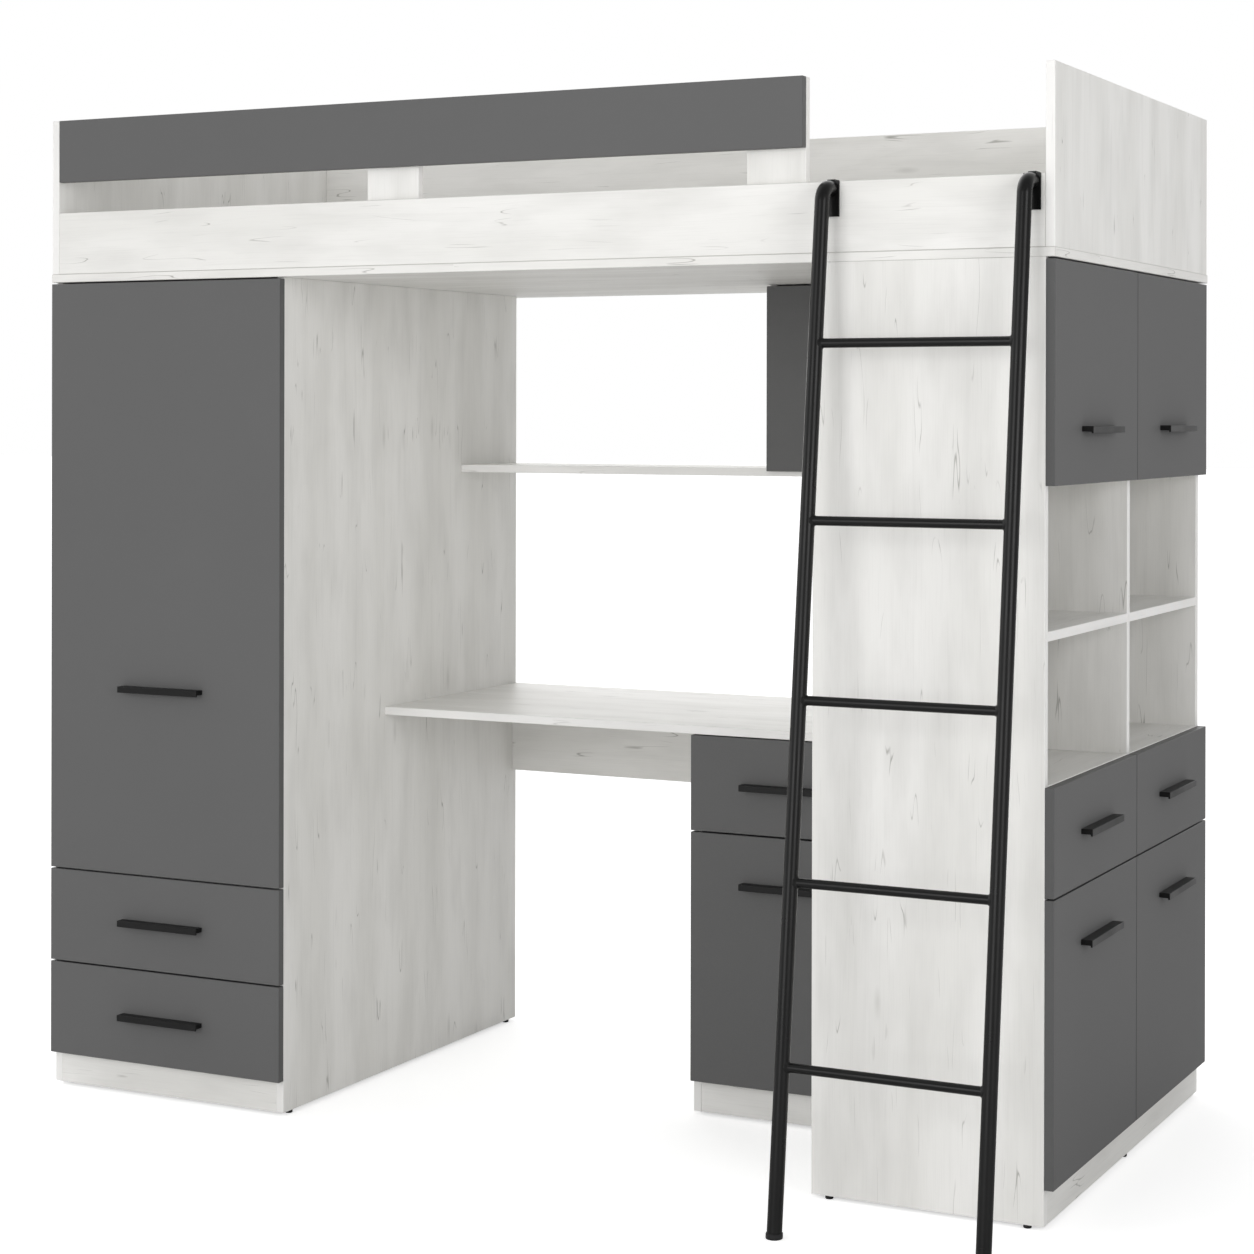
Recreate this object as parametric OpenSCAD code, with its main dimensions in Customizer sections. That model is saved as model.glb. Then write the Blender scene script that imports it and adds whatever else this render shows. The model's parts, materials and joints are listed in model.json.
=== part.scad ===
// Loft bed with a wardrobe, a desk, a bookcase and a hook-on ladder.
// Built up from 16 mm melamine-faced boards. X runs along the bed, Y from front to back, Z up.
// The origin is on the floor, under the middle of the whole footprint.

/* [Overall] */
// Length of the bed over its end panels
length = 2040; // [1700:1:2500]
// Depth of the bed deck, front edge to back edge
depth = 967; // [800:1:1200]
// Height from the floor to the underside of the bed deck
under_bed_h = 1576; // [1460:1:1900]
// Thickness of every board and front
board_t = 16; // [13:0.1:20]
// Thickness of the thin back boards and drawer bottoms
thin_t = 3; // [2:0.1:5]
// Height of the black plastic glides
glide_h = 6; // [3:0.1:12]
// Radius of a glide
glide_r = 7; // [5:0.1:7.5]
// Height of the plinths, above the glides
plinth_h = 60; // [40:1:100]
// Gap between neighbouring fronts
front_gap = 3; // [2:0.1:4]

/* [Bed] */
// Height of the long front rail
rail_h = 120; // [80:1:180]
// Open gap between the front rail and the guard rail
guard_gap = 60; // [40:1:75]
// Height of the guard rail
guard_h = 121; // [80:1:180]
// Clear way in, between the guard rail and the right end panel
entry_w = 426; // [400:1:520]
// Width of a guard post
post_w = 110; // [60:1:140]
// From the left end panel to the first guard post
post_x = 703; // [300:1:760]
// How far the deck stands out past the upper boards at the front and ends
deck_lip = 1; // [0:0.1:4]
// How far the deck stands out past the back panel
deck_lip_back = 4; // [0:0.1:8]

/* [Wardrobe] */
// Width of the wardrobe
wardrobe_w = 538; // [440:1:650]
// From the back of the deck forward to the back of the wardrobe and desk
back_inset = 61; // [40:1:80]
// Height of the wardrobe's drawer fronts and of all other drawer fronts
drawer_front_h = 179; // [140:1:220]
// Clear height between the hat shelf and the deck
hat_space_h = 222; // [180:1:270]
// Radius of the clothes rail
clothes_rail_r = 12.5; // [8:0.1:16]
// Drop from the hat shelf to the centre of the clothes rail
clothes_rail_drop = 50; // [35:1:80]
// Width of the flange round each end of the clothes rail
rail_flange_w = 8; // [4:0.1:14]
// Thickness of that flange
rail_flange_t = 4; // [2:0.1:8]

/* [Desk] */
// Height of the desk surface above the floor
desk_h = 735; // [680:1:885]
// From the front of the bed back to the front edge of the desk
desk_setback = 370; // [250:1:450]
// Height of the rail under the back of the desk
desk_rail_h = 172; // [120:1:210]
// Width of the cabinet under the desk
desk_cabinet_w = 402; // [330:1:500]
// Height of the shelf over the desk, to its upper face
shelf_h = 1214; // [1160:1:1400]
// Depth of the shelf over the desk
shelf_d = 237; // [190:1:300]
// Width of the hanging cabinet over the desk
hanging_w = 373; // [300:1:460]
// How far the hanging cabinet's door covers the shelf's front edge
hanging_overlap = 6; // [3:1:12]
// Gap between the desk and the drawer front under it
desk_front_gap = 2; // [1:0.1:4]
// Gap between a front and the bookcase's back beside it
wall_gap = 2; // [1:0.1:4]

/* [Bookcase] */
// Depth of the bookcase along the bed, without its fronts
bookcase_d = 407; // [330:1:500]
// From the back of the deck forward to the bookcase's rear side
bookcase_inset = 6; // [2:1:20]
// Height of the lower edge of the upper doors
upper_door_z = 1205; // [1140:1:1260]
// Height of the upper face of the middle open shelf
open_shelf_z = 968; // [920:1:1040]
// Height of the upper face of the shelf inside the lower doors
low_shelf_z = 310; // [200:1:400]

/* [Handles] */
// Length of a handle
handle_l = 186; // [120:1:240]
// How far a handle stands out
handle_d = 20; // [14:0.1:30]
// Height of a handle's body
handle_body_h = 9; // [6:0.1:14]
// How far the front lip hangs below the body
handle_lip = 3; // [1:0.1:6]
// Thickness of the front lip
handle_lip_t = 3.5; // [2:0.1:6]
// From a door's edge to the middle of its handle
handle_edge = 92; // [60:1:120]
// From the bottom of the wardrobe door to the middle of its handle
wardrobe_handle_z = 359; // [200:1:500]

/* [Drawers] */
// Gap on each side of a drawer box for its runners
runner_gap = 13; // [12.7:0.1:15]
// Length of the wardrobe's and desk's drawer boxes
drawer_l = 450; // [350:1:470]
// Length of the bookcase's drawer boxes
bookcase_drawer_l = 350; // [270:1:375]
// Height of a drawer box
drawer_box_h = 110; // [80:1:120]
// Thickness of a drawer box's sides
drawer_side_t = 12; // [10:0.1:16]
// From the front's lower edge up to the drawer box
drawer_lift = 30; // [25:1:40]
// Height of a runner
runner_h = 17; // [12:0.1:22]
// Thickness of a runner
runner_t = 10; // [8:0.1:12]

/* [Hinges] */
// Height of a hinge arm's mounting plate
hinge_h = 44; // [30:1:55]
// Length of a hinge arm, back from the carcass edge
hinge_l = 72; // [50:1:90]
// How far a hinge arm stands off the board it is fixed to
hinge_t = 14; // [10:0.1:18]
// From a door's edge to the middle of its hinge
hinge_edge = 90; // [70:1:110]

/* [Ladder] */
// Distance between the centres of the two stiles
ladder_w = 351; // [280:1:380]
// From the right end panel to the centre of the right stile
ladder_offset = 22; // [18:0.1:30]
// Radius of a stile tube
stile_r = 12.5; // [10:0.1:13]
// Wall of the stile and rung tubes
tube_t = 1.5; // [1:0.1:2.5]
// Radius of a rung tube
rung_r = 8; // [6:0.1:10]
// Height of the lowest rung's centre
first_rung_z = 268; // [200:1:330]
// Distance between rungs
rung_pitch = 292.5; // [240:0.5:300]
// Number of rungs
rung_count = 5; // [3:1:5]
// Lean of the ladder from upright, in degrees
ladder_lean = 6.5; // [3:0.1:12]
// From the face of the front rail to the stile's centre line, at the start of its bend
stile_standoff = 41; // [36:0.1:60]
// Radius of the bend at the top of a stile
bend_r = 27; // [20:0.1:32]
// Width of a hook's front plate
hook_w = 30; // [26:0.1:36]
// Width of the strap that passes over the rail
hook_strap_w = 14; // [10:0.1:24]
// Thickness of the hook's steel
hook_t = 3; // [2:0.1:5]
// Height of the hook's front plate
hook_h = 60; // [50:1:75]
// Height of the hook's back leg
hook_leg_h = 40; // [20:1:60]
// Radius of a ladder foot
foot_r = 14; // [13.8:0.1:16]
// Height of a ladder foot
foot_h = 9; // [6:0.1:15]
// Thickness of a foot's sole under the tube
sole_t = 4; // [2:0.1:5]

/* [Hidden] */
$fn = 48;

OAK = "#ecebe8";
GRAPHITE = "#5f6061";
BLACK = "#1c1c1d";
STEEL = "#b9bcbf";

// Working frame: X from the left end, Y from the front edge of the deck, Z from the floor.
lean_y = tan(ladder_lean);
deck_top = under_bed_h + board_t;
rail_top = deck_top + rail_h;
guard_z = rail_top + guard_gap;
bed_top = guard_z + guard_h;
rail_face = deck_lip;
end_in_left = deck_lip + board_t;
end_in_right = length - deck_lip - board_t;
guard_right = end_in_right - entry_w;
bed_back = depth - deck_lip_back;

// The stile's straight run ends at bend_start; its bend ends level, just under the rail's top.
hook_z = rail_top - stile_r;
bend_centre_z = hook_z - bend_r;
bend_start_z = bend_centre_z + bend_r * sin(ladder_lean);
bend_start_y = rail_face - stile_standoff;
bend_centre_y = bend_start_y + bend_r * cos(ladder_lean);
foot_y = bend_start_y - bend_start_z * lean_y;
ladder_right_x = end_in_right - ladder_offset;
ladder_left_x = ladder_right_x - ladder_w;
STILES_X = [ladder_left_x, ladder_right_x];
hook_clearance = 0.5;
// A hinge arm's parts, as shares of its thickness and length
hinge_root_share = 0.6;
hinge_plate_share = 0.5;
// From the carcass edge back to a hinge arm
hinge_setback = 1;
// From a board's corner to the middle of a glide
glide_inset = 30;
// Play between two pieces that are welded, glued or screwed to each other
joint_gap = 0.05;

// Middle of the footprint, from the ladder's feet to the deck's back edge.
front_reach = foot_y - foot_r / cos(ladder_lean);
origin = [(length + handle_d) / 2, (front_reach + depth) / 2, 0];

// Levels that the wardrobe, the desk cabinet and the bookcase share.
body_z = glide_h;
front_z = glide_h + plinth_h;
drawer_pitch = drawer_front_h + front_gap;
door_top = under_bed_h - front_gap;
back_y = depth - back_inset;
desk_under = desk_h - board_t;
top_drawer_z = desk_under - desk_front_gap - drawer_front_h;
low_door_h = top_drawer_z - front_gap - front_z;
edge_in = board_t;

// Wardrobe
wardrobe_in_right = wardrobe_w - board_t;
wardrobe_door_z = front_z + 2 * drawer_pitch;
over_drawers_z = wardrobe_door_z - front_gap / 2 - board_t / 2;
hat_shelf_z = under_bed_h - hat_space_h - board_t;

// Bookcase
bookcase_x = length - board_t - bookcase_d;
bookcase_edge_x = length - board_t;
bookcase_in_x = bookcase_x + board_t;
bookcase_rear = depth - bookcase_inset;
bookcase_mid = bookcase_rear / 2;
seam_half = front_gap / 2;
ledge_z = desk_under - desk_front_gap / 2;
divider_y = bookcase_mid - board_t / 2;
BAYS_Y = [[board_t, divider_y], [divider_y + board_t, bookcase_rear - board_t]];

// Desk, its cabinet and the hanging cabinet
desk_cabinet_x = bookcase_x - desk_cabinet_w;
shelf_y = back_y - shelf_d;
hanging_x = bookcase_x - hanging_w;
hanging_door_z = shelf_h - hanging_overlap;

// Widths of the fronts
desk_front_w = desk_cabinet_w - wall_gap;
hanging_front_w = hanging_w - wall_gap;
bookcase_front_w = bookcase_mid - seam_half;
rear_front_y = bookcase_mid + seam_half;

// A plain board between two opposite corners
module board(low, high) {
  translate(low) cube(high - low);
}

// Outline of a tube's wall
module ring(outer, inner) {
  difference() {
    circle(r = outer);
    circle(r = inner);
  }
}

// Everything is drawn in the working frame and moved to the origin here.
module placed() {
  translate(-origin) children();
}

// A front that faces -Y, with its outer face at y
module front_panel(x, y, z, w, h) {
  board([x, y, z], [x + w, y + board_t, z + h]);
}

// A front that faces +X, with its outer face at the end of the bed
module end_panel(y, z, w, h) {
  board([bookcase_edge_x, y, z], [length, y + w, z + h]);
}

// Solid bar handle with a small finger lip along its front, running along X and facing -Y
module bar_handle() {
  half = handle_body_h / 2;
  translate([-handle_l / 2, 0, 0]) rotate([90, 0, 90]) linear_extrude(handle_l)
    polygon([
      [0, -half], [0, half], [-handle_d, half], [-handle_d, -half - handle_lip],
      [-handle_d + handle_lip_t, -half - handle_lip], [-handle_d + handle_lip_t, -half]
    ]);
}

module front_handle(x, y, z) {
  color(BLACK) placed() translate([x, y, z]) bar_handle();
}

module end_handle(y, z) {
  color(BLACK) placed() translate([length, y, z]) rotate([0, 0, 90]) bar_handle();
}

// Open drawer box of width w and length l, running back along +Y from its own origin.
// Its two sides, inner front, back and thin bottom are separate boards.
module drawer_box(w, l) {
  side = drawer_side_t;
  in_low = side + joint_gap;
  in_high = w - side - joint_gap;
  for (x = [0, w - side])
    board([x, 0, 0], [x + side, l, drawer_box_h]);
  for (y = [0, l - side])
    board([in_low, y, 0], [in_high, y + side, drawer_box_h]);
  board([in_low, in_low, 0], [in_high, l - in_low, thin_t]);
}

// Bed
module bed_deck() {
  color(OAK) placed() board([0, 0, under_bed_h], [length, depth, deck_top]);
}

module bed_front_rail() {
  color(OAK) placed()
    board([end_in_left, rail_face, deck_top], [end_in_right, rail_face + board_t, rail_top]);
}

module bed_back_panel() {
  color(OAK) placed()
    board([end_in_left, bed_back - board_t, deck_top], [end_in_right, bed_back, bed_top]);
}

module bed_end(x) {
  color(OAK) placed() board([x, rail_face, deck_top], [x + board_t, bed_back, bed_top]);
}

module bed_end_left() {
  bed_end(deck_lip);
}

module bed_end_right() {
  bed_end(end_in_right);
}

module guard_rail() {
  color(GRAPHITE) placed()
    board([end_in_left, rail_face, guard_z], [guard_right, rail_face + board_t, bed_top]);
}

module guard_posts() {
  color(OAK) placed() for (x = [end_in_left + post_x, guard_right - post_w])
    board([x, rail_face + board_t, deck_top], [x + post_w, rail_face + 2 * board_t, bed_top]);
}

// Wardrobe
module wardrobe_side(x) {
  color(OAK) placed() board([x, edge_in, body_z], [x + board_t, back_y, under_bed_h]);
}

module wardrobe_side_left() {
  wardrobe_side(0);
}

module wardrobe_side_right() {
  wardrobe_side(wardrobe_in_right);
}

module wardrobe_boards() {
  color(OAK) placed() for (z = [front_z, over_drawers_z, hat_shelf_z])
    board([board_t, edge_in, z], [wardrobe_in_right, back_y - thin_t, z + board_t]);
}

// Round tube, held at each end by a flange that is screwed to the side
module clothes_rail() {
  span = wardrobe_in_right - board_t;
  flange_in = clothes_rail_r + joint_gap;
  z = hat_shelf_z - clothes_rail_drop;
  y = (edge_in + back_y) / 2;
  color(STEEL) placed() translate([board_t, y, z]) rotate([0, 90, 0]) {
    linear_extrude(span) ring(clothes_rail_r, clothes_rail_r - tube_t);
    for (end = [0, span - rail_flange_t])
      translate([0, 0, end])
        linear_extrude(rail_flange_t) ring(flange_in + rail_flange_w, flange_in);
  }
}

// Desk
module desk_top() {
  color(OAK) placed() board([wardrobe_w, desk_setback, desk_under], [bookcase_x, back_y, desk_h]);
}

module desk_back_rail() {
  color(OAK) placed()
    board([wardrobe_w, back_y - board_t, desk_under - desk_rail_h],
          [desk_cabinet_x, back_y, desk_under]);
}

module desk_shelf() {
  color(OAK) placed()
    board([wardrobe_w, shelf_y, shelf_h - board_t], [bookcase_x, back_y, shelf_h]);
}

module desk_cabinet_side() {
  color(OAK) placed()
    board([desk_cabinet_x, desk_setback + board_t, body_z],
          [desk_cabinet_x + board_t, back_y, desk_under]);
}

module desk_cabinet_boards() {
  color(OAK) placed() for (z = [front_z, low_shelf_z - board_t])
    board([desk_cabinet_x + board_t, desk_setback + board_t, z],
          [bookcase_x, back_y - thin_t, z + board_t]);
}

module hanging_cabinet_side() {
  color(OAK) placed()
    board([hanging_x, shelf_y, shelf_h], [hanging_x + board_t, back_y, under_bed_h]);
}

// Bookcase
module bookcase_side(y) {
  color(OAK) placed() board([bookcase_x, y, body_z], [bookcase_edge_x, y + board_t, under_bed_h]);
}

module bookcase_side_front() {
  bookcase_side(0);
}

module bookcase_side_rear() {
  bookcase_side(bookcase_rear - board_t);
}

module bookcase_back() {
  color(OAK) placed()
    board([bookcase_x, board_t, body_z], [bookcase_in_x, bookcase_rear - board_t, under_bed_h]);
}

module bookcase_dividers() {
  spans = [[front_z + board_t, ledge_z - board_t], [ledge_z, upper_door_z],
           [upper_door_z + board_t, under_bed_h]];
  color(OAK) placed() for (span = spans)
    board([bookcase_in_x, divider_y, span[0]], [bookcase_edge_x, divider_y + board_t, span[1]]);
}

module bookcase_boards() {
  color(OAK) placed() {
    for (z = [front_z, ledge_z - board_t, upper_door_z])
      board([bookcase_in_x, board_t, z], [bookcase_edge_x, bookcase_rear - board_t, z + board_t]);
    for (bay = BAYS_Y, z = [low_shelf_z, open_shelf_z])
      board([bookcase_in_x, bay[0], z - board_t], [bookcase_edge_x, bay[1], z]);
  }
}

// Plinths, backs and glides
module plinths() {
  color(OAK) placed() {
    board([board_t, edge_in, body_z], [wardrobe_in_right, edge_in + board_t, front_z]);
    board([desk_cabinet_x + board_t, desk_setback + board_t, body_z],
          [bookcase_x, desk_setback + 2 * board_t, front_z]);
    board([bookcase_edge_x - board_t, board_t, body_z],
          [bookcase_edge_x, bookcase_rear - board_t, front_z]);
  }
}

module back_boards() {
  color(OAK) placed() {
    board([board_t, back_y - thin_t, body_z], [wardrobe_in_right, back_y, under_bed_h]);
    board([desk_cabinet_x + board_t, back_y - thin_t, body_z], [bookcase_x, back_y, desk_under]);
    board([hanging_x + board_t, back_y - thin_t, shelf_h], [bookcase_x, back_y, under_bed_h]);
  }
}

module glides() {
  half = board_t / 2;
  rear_y = back_y - glide_inset;
  desk_y = desk_setback + board_t + glide_inset;
  sides = [for (x = [half, wardrobe_w - half], y = [edge_in + glide_inset, rear_y]) [x, y]];
  desk = [for (y = [desk_y, rear_y]) [desk_cabinet_x + half, y]];
  bookcase = [for (x = [bookcase_x + glide_inset, bookcase_edge_x - glide_inset],
                   y = [half, bookcase_rear - half]) [x, y]];
  middle = [[bookcase_edge_x - half, bookcase_mid], [bookcase_x + half, bookcase_mid]];
  color(BLACK) placed() for (p = concat(sides, desk, bookcase, middle))
    translate([p[0], p[1], 0]) cylinder(r = glide_r, h = glide_h);
}

// Hinge arm fixed to a board, drawn with the board on its left and the carcass edge at y = 0
module hinge_arm() {
  plate_l = hinge_l * hinge_plate_share;
  root_w = hinge_t * hinge_root_share;
  translate([0, hinge_setback, -hinge_h / 2]) linear_extrude(hinge_h)
    polygon([[0, 0], [hinge_t, 0], [hinge_t, plate_l], [root_w, hinge_l], [0, hinge_l]]);
}

// Heights of the hinges on a door that starts at z and is h high
function hinge_levels(z, h, n) =
  [for (i = [0:n - 1]) z + hinge_edge + i * (h - 2 * hinge_edge) / (n - 1)];

// Hinge arms on a door that faces -Y and is hung on its left
module left_hung_arms(x, y, z, h, n) {
  for (level = hinge_levels(z, h, n))
    translate([x + board_t, y + board_t, level]) hinge_arm();
}

module hinge_arms() {
  color(STEEL) placed() {
    left_hung_arms(0, 0, wardrobe_door_z, door_top - wardrobe_door_z, 3);
    left_hung_arms(desk_cabinet_x, desk_setback, front_z, low_door_h, 2);
    left_hung_arms(hanging_x, shelf_y - board_t, hanging_door_z, door_top - hanging_door_z, 2);
    for (door = [[front_z, low_door_h], [upper_door_z, door_top - upper_door_z]])
      for (level = hinge_levels(door[0], door[1], 2)) {
        translate([bookcase_edge_x, board_t, level]) rotate([0, 0, 90]) hinge_arm();
        translate([bookcase_edge_x, bookcase_rear - board_t, level])
          rotate([0, 0, 90]) mirror([1, 0, 0]) hinge_arm();
      }
  }
}

// Fixed runners, one on each side of every drawer
module runner_pair(w, l) {
  for (x = [0, w - runner_t])
    translate([x, 0, 0]) cube([runner_t, l, runner_h]);
}

module drawer_runners() {
  z = drawer_lift - runner_h / 2;
  color(STEEL) placed() {
    for (i = [0, 1])
      translate([board_t, edge_in, front_z + i * drawer_pitch + z])
        runner_pair(wardrobe_in_right - board_t, drawer_l);
    translate([desk_cabinet_x + board_t, desk_setback + board_t, top_drawer_z + z])
      runner_pair(desk_cabinet_w - board_t, drawer_l);
    for (bay = BAYS_Y)
      translate([bookcase_edge_x, bay[0], top_drawer_z + z]) rotate([0, 0, 90])
        runner_pair(bay[1] - bay[0], bookcase_drawer_l);
  }
}

// Doors
module wardrobe_door() {
  color(GRAPHITE) placed()
    front_panel(0, 0, wardrobe_door_z, wardrobe_w, door_top - wardrobe_door_z);
}

module wardrobe_door_handle() {
  front_handle(wardrobe_w / 2, 0, wardrobe_door_z + wardrobe_handle_z);
}

module desk_door() {
  color(GRAPHITE) placed()
    front_panel(desk_cabinet_x, desk_setback, front_z, desk_front_w, low_door_h);
}

module desk_door_handle() {
  front_handle(desk_cabinet_x + desk_front_w / 2, desk_setback,
               front_z + low_door_h - handle_edge);
}

module hanging_door() {
  color(GRAPHITE) placed()
    front_panel(hanging_x, shelf_y - board_t, hanging_door_z, hanging_front_w,
                door_top - hanging_door_z);
}

module hanging_door_handle() {
  front_handle(hanging_x + hanging_front_w / 2, shelf_y - board_t, hanging_door_z + handle_edge);
}

module upper_door(y) {
  color(GRAPHITE) placed()
    end_panel(y, upper_door_z, bookcase_front_w, door_top - upper_door_z);
}

module lower_door(y) {
  color(GRAPHITE) placed() end_panel(y, front_z, bookcase_front_w, low_door_h);
}

module upper_door_handle(y) {
  end_handle(y + bookcase_front_w / 2, upper_door_z + handle_edge);
}

module lower_door_handle(y) {
  end_handle(y + bookcase_front_w / 2, front_z + low_door_h - handle_edge);
}

module upper_front_door() {
  upper_door(0);
}

module upper_front_door_handle() {
  upper_door_handle(0);
}

module upper_rear_door() {
  upper_door(rear_front_y);
}

module upper_rear_door_handle() {
  upper_door_handle(rear_front_y);
}

module lower_front_door() {
  lower_door(0);
}

module lower_front_door_handle() {
  lower_door_handle(0);
}

module lower_rear_door() {
  lower_door(rear_front_y);
}

module lower_rear_door_handle() {
  lower_door_handle(rear_front_y);
}

// Drawers
module wardrobe_drawer_front(i) {
  color(GRAPHITE) placed()
    front_panel(0, 0, front_z + i * drawer_pitch, wardrobe_w, drawer_front_h);
}

module wardrobe_drawer_box(i) {
  color(OAK) placed()
    translate([board_t + runner_gap, edge_in, front_z + i * drawer_pitch + drawer_lift])
      drawer_box(wardrobe_in_right - board_t - 2 * runner_gap, drawer_l);
}

module wardrobe_drawer_handle(i) {
  front_handle(wardrobe_w / 2, 0, front_z + i * drawer_pitch + drawer_front_h / 2);
}

module wardrobe_upper_drawer_front() {
  wardrobe_drawer_front(1);
}

module wardrobe_upper_drawer_box() {
  wardrobe_drawer_box(1);
}

module wardrobe_upper_drawer_handle() {
  wardrobe_drawer_handle(1);
}

module wardrobe_lower_drawer_front() {
  wardrobe_drawer_front(0);
}

module wardrobe_lower_drawer_box() {
  wardrobe_drawer_box(0);
}

module wardrobe_lower_drawer_handle() {
  wardrobe_drawer_handle(0);
}

module desk_drawer_front() {
  color(GRAPHITE) placed()
    front_panel(desk_cabinet_x, desk_setback, top_drawer_z, desk_front_w, drawer_front_h);
}

module desk_drawer_box() {
  color(OAK) placed()
    translate([desk_cabinet_x + board_t + runner_gap, desk_setback + board_t,
               top_drawer_z + drawer_lift])
      drawer_box(desk_cabinet_w - board_t - 2 * runner_gap, drawer_l);
}

module desk_drawer_handle() {
  front_handle(desk_cabinet_x + desk_front_w / 2, desk_setback,
               top_drawer_z + drawer_front_h / 2);
}

module bookcase_drawer_front(y) {
  color(GRAPHITE) placed() end_panel(y, top_drawer_z, bookcase_front_w, drawer_front_h);
}

module bookcase_drawer_box(bay) {
  color(OAK) placed()
    translate([bookcase_edge_x, bay[0] + runner_gap, top_drawer_z + drawer_lift])
      rotate([0, 0, 90]) drawer_box(bay[1] - bay[0] - 2 * runner_gap, bookcase_drawer_l);
}

module bookcase_drawer_handle(y) {
  end_handle(y + bookcase_front_w / 2, top_drawer_z + drawer_front_h / 2);
}

module bookcase_front_drawer_front() {
  bookcase_drawer_front(0);
}

module bookcase_front_drawer_box() {
  bookcase_drawer_box(BAYS_Y[0]);
}

module bookcase_front_drawer_handle() {
  bookcase_drawer_handle(0);
}

module bookcase_rear_drawer_front() {
  bookcase_drawer_front(rear_front_y);
}

module bookcase_rear_drawer_box() {
  bookcase_drawer_box(BAYS_Y[1]);
}

module bookcase_rear_drawer_handle() {
  bookcase_drawer_handle(rear_front_y);
}

// Ladder
// Solid along the straight run of a stile, from the floor to the start of its bend, radius r
module stile_run(x, r) {
  translate([x, foot_y, 0]) rotate([-ladder_lean, 0, 0])
    cylinder(r = r, h = bend_start_z / cos(ladder_lean));
}

// A stile tube: the bend with its short level run into the hook, and the straight run welded below
module stile(x) {
  inner = stile_r - tube_t;
  difference() {
    translate([x, bend_centre_y, bend_centre_z]) rotate([90, 0, 90]) rotate([0, 0, 90]) {
      rotate_extrude(angle = 90 - ladder_lean) translate([bend_r, 0]) ring(stile_r, inner);
      rotate([0, 0, 90 - ladder_lean]) translate([bend_r, 0, 0]) rotate([-90, 0, 0])
        linear_extrude(bend_start_z / cos(ladder_lean)) ring(stile_r, inner);
      translate([bend_r, 0, 0]) rotate([90, 0, 0])
        linear_extrude(rail_face - hook_clearance - hook_t - bend_centre_y)
          ring(stile_r, inner);
    }
    translate([x - 2 * foot_r, foot_y - 2 * foot_r, -foot_r])
      cube([4 * foot_r, 4 * foot_r, foot_r + sole_t]);
  }
}

module ladder_stiles() {
  color(BLACK) placed() for (x = STILES_X) stile(x);
}

module ladder_rungs() {
  color(BLACK) placed() for (i = [0:rung_count - 1]) {
    z = first_rung_z + i * rung_pitch;
    y = foot_y + z * lean_y;
    difference() {
      translate([ladder_left_x, y, z]) rotate([0, 90, 0]) cylinder(r = rung_r, h = ladder_w);
      translate([ladder_left_x, y, z]) rotate([0, 90, 0])
        cylinder(r = rung_r - tube_t, h = ladder_w);
      for (x = STILES_X) stile_run(x, stile_r + joint_gap);
    }
  }
}

// Hook of flat steel: a front plate, a narrower strap over the rail and a leg behind it
module ladder_hooks() {
  slot = board_t + 2 * hook_clearance;
  back = slot + hook_t;
  color(BLACK) placed() for (x = STILES_X) translate([x, rail_face - hook_clearance, rail_top]) {
    board([-hook_w / 2, -hook_t, -hook_h], [hook_w / 2, 0, 0]);
    translate([-hook_strap_w / 2, 0, 0]) rotate([90, 0, 90]) linear_extrude(hook_strap_w)
      polygon([
        [-hook_t, -hook_t], [0, -hook_t], [0, 0], [slot, 0], [slot, -hook_leg_h],
        [back, -hook_leg_h], [back, hook_t], [-hook_t, hook_t]
      ]);
  }
}

// Level plastic foot round the end of each stile
module ladder_feet() {
  color(BLACK) placed() for (x = STILES_X) difference() {
    intersection() {
      translate([x, foot_y, 0]) rotate([-ladder_lean, 0, 0]) translate([0, 0, -foot_r])
        cylinder(r = foot_r, h = foot_h + 2 * foot_r);
      translate([x - 2 * foot_r, foot_y - 2 * foot_r, 0])
        cube([4 * foot_r, 4 * foot_r, foot_h]);
    }
    intersection() {
      translate([x, foot_y, 0]) rotate([-ladder_lean, 0, 0])
        cylinder(r = stile_r + joint_gap, h = foot_h + foot_r);
      translate([x - 2 * foot_r, foot_y - 2 * foot_r, sole_t])
        cube([4 * foot_r, 4 * foot_r, foot_h]);
    }
  }
}

bed_deck();
bed_front_rail();
bed_back_panel();
bed_end_left();
bed_end_right();
guard_rail();
guard_posts();
wardrobe_side_left();
wardrobe_side_right();
wardrobe_boards();
clothes_rail();
desk_top();
desk_back_rail();
desk_shelf();
desk_cabinet_side();
desk_cabinet_boards();
hanging_cabinet_side();
bookcase_side_front();
bookcase_side_rear();
bookcase_back();
bookcase_dividers();
bookcase_boards();
plinths();
back_boards();
glides();
hinge_arms();
drawer_runners();
wardrobe_door();
wardrobe_door_handle();
desk_door();
desk_door_handle();
hanging_door();
hanging_door_handle();
upper_front_door();
upper_front_door_handle();
upper_rear_door();
upper_rear_door_handle();
lower_front_door();
lower_front_door_handle();
lower_rear_door();
lower_rear_door_handle();
wardrobe_upper_drawer_front();
wardrobe_upper_drawer_box();
wardrobe_upper_drawer_handle();
wardrobe_lower_drawer_front();
wardrobe_lower_drawer_box();
wardrobe_lower_drawer_handle();
desk_drawer_front();
desk_drawer_box();
desk_drawer_handle();
bookcase_front_drawer_front();
bookcase_front_drawer_box();
bookcase_front_drawer_handle();
bookcase_rear_drawer_front();
bookcase_rear_drawer_box();
bookcase_rear_drawer_handle();
ladder_stiles();
ladder_rungs();
ladder_hooks();
ladder_feet();
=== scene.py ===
# %% [markdown]
# # Loft bed with a desk, a wardrobe and a bookcase
#
# The bed is flat-pack furniture: 16 mm chipboard with a printed white oak decor, plain graphite
# fronts, black bar handles and a black steel ladder that hooks over the front rail. The frame that
# is loaded here fixes where every board and joint is, so this lesson only has to give each piece
# its edges, its fittings and its finish. All lengths are in metres.

# %% Load the frame
import json
import math
import random

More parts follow.
